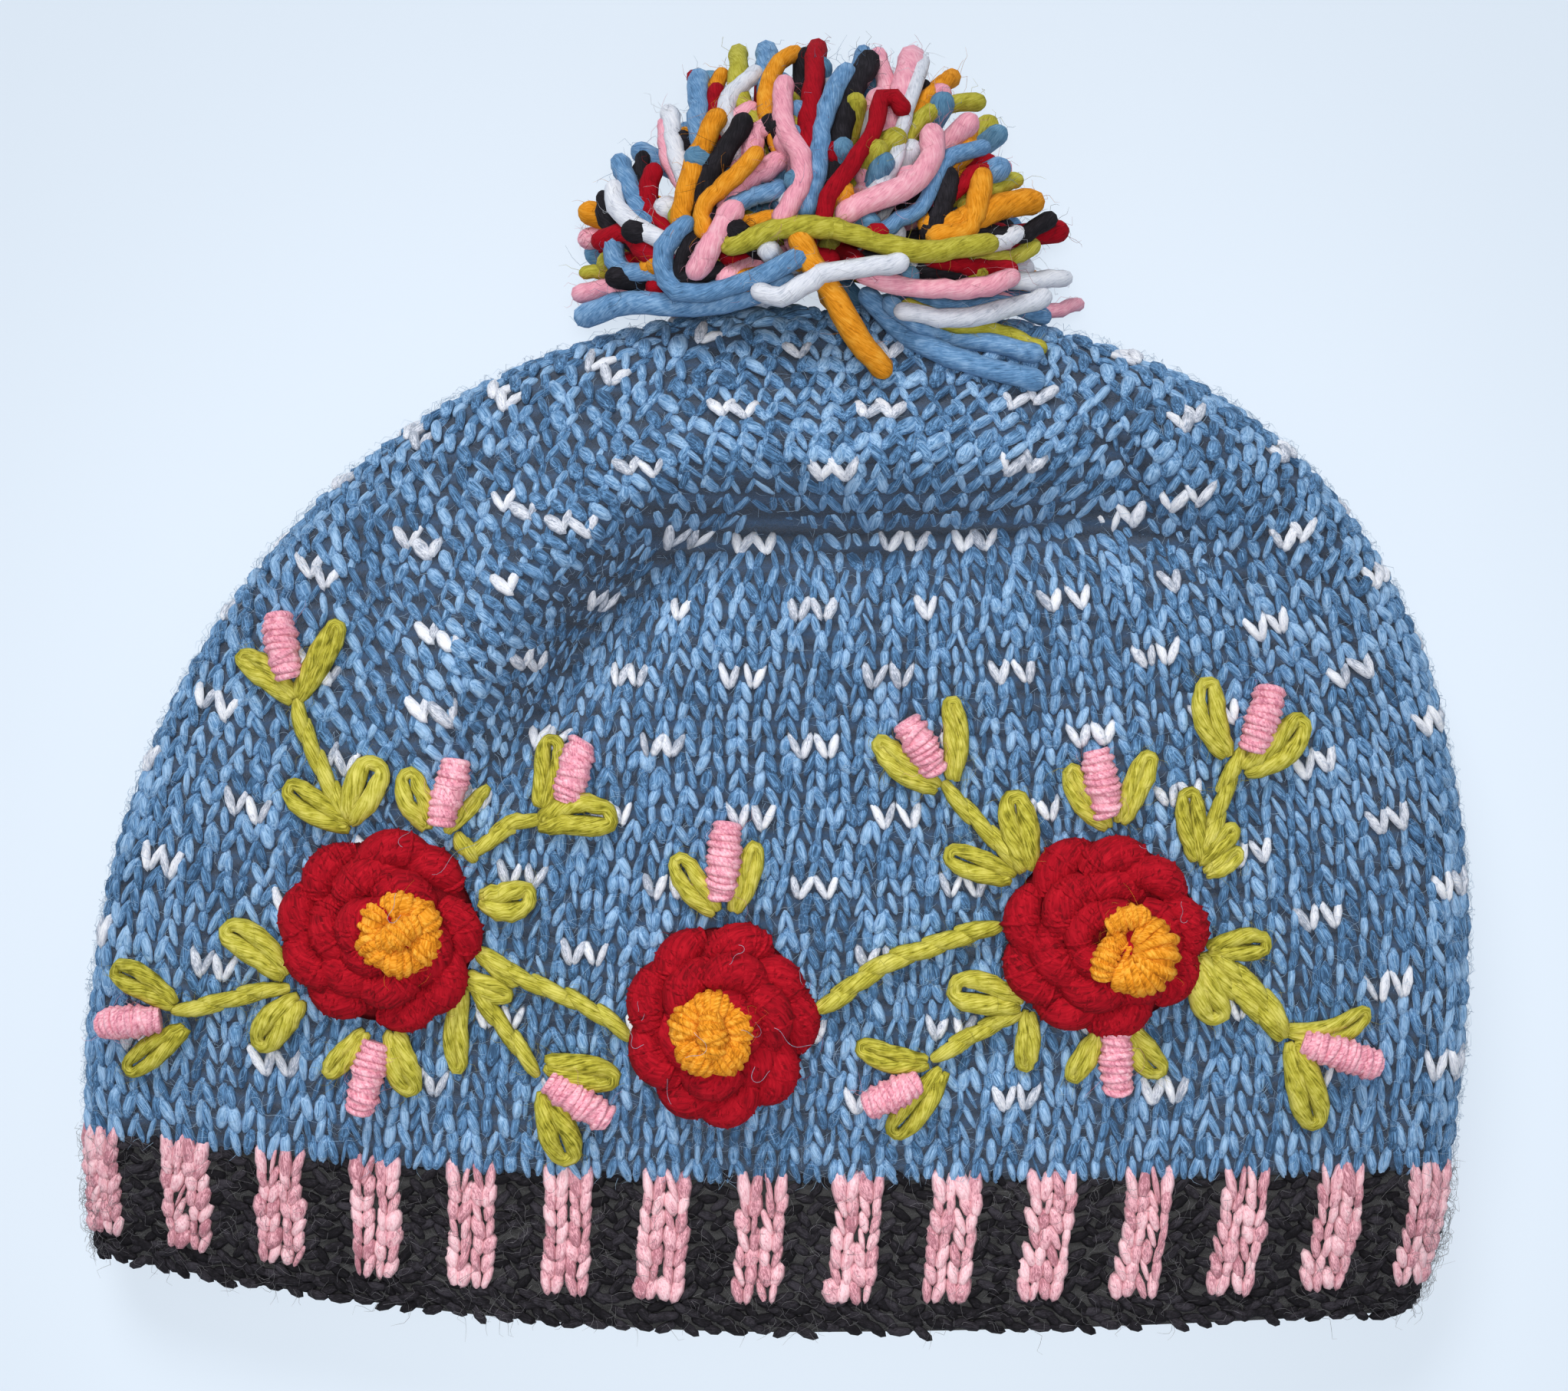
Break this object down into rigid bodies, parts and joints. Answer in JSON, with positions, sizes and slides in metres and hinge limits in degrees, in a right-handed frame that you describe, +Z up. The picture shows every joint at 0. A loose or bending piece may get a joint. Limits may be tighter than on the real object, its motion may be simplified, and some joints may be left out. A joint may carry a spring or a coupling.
{
  "type": "knitted beanie with embroidered flowers and yarn pompom",
  "caption": "Hand-knit wool beanie lying on its back, with a ribbed hem, embroidered flowers and a yarn pompom, hollow and open at the hem.",
  "frame": {"origin": "on the flat back of the hat where it rests, under the middle of the body", "axes": "+X across the hat, +Y from the hem to the pompom, +Z up from the surface it lies on towards the embroidered front"},
  "size_m": [0.25, 0.2317, 0.0538],
  "materials": {
    "blue_wool": "matte",
    "charcoal_wool": "matte",
    "mixed_wool": "matte",
    "red_wool": "matte",
    "yellow_wool": "matte",
    "pink_wool": "matte",
    "green_wool": "matte"
  },
  "bodies": {
    "root": {"knit_body": "blue_wool", "hem_band": "charcoal_wool", "pompom": "mixed_wool", "rose_left": "red_wool", "rose_middle": "red_wool", "rose_right": "red_wool", "rose_centre_left": "yellow_wool", "rose_centre_middle": "yellow_wool", "rose_centre_right": "yellow_wool", "bud_left_1": "pink_wool", "bud_left_2": "pink_wool", "bud_left_3": "pink_wool", "bud_left_4": "pink_wool", "bud_left_5": "pink_wool", "bud_left_6": "pink_wool", "bud_middle": "pink_wool", "bud_right_1": "pink_wool", "bud_right_2": "pink_wool", "bud_right_3": "pink_wool", "bud_right_4": "pink_wool", "bud_right_5": "pink_wool", "bud_right_6": "pink_wool", "sprig_left_top": "green_wool", "sprig_left_east": "green_wool", "leaf_left_east": "green_wool", "sprig_left_west": "green_wool", "leaf_left_south_a": "green_wool", "leaf_left_south_b": "green_wool", "sprig_left_southeast": "green_wool", "leaf_middle_left": "green_wool", "leaf_middle_right": "green_wool", "rope_right": "green_wool", "sprig_right_northwest": "green_wool", "leaf_right_crown_a": "green_wool", "leaf_right_crown_b": "green_wool", "sprig_right_northeast": "green_wool", "sprig_right_east": "green_wool", "leaf_right_south_a": "green_wool", "leaf_right_south_b": "green_wool", "sprig_right_southwest": "green_wool"}
  },
  "joints": []
}
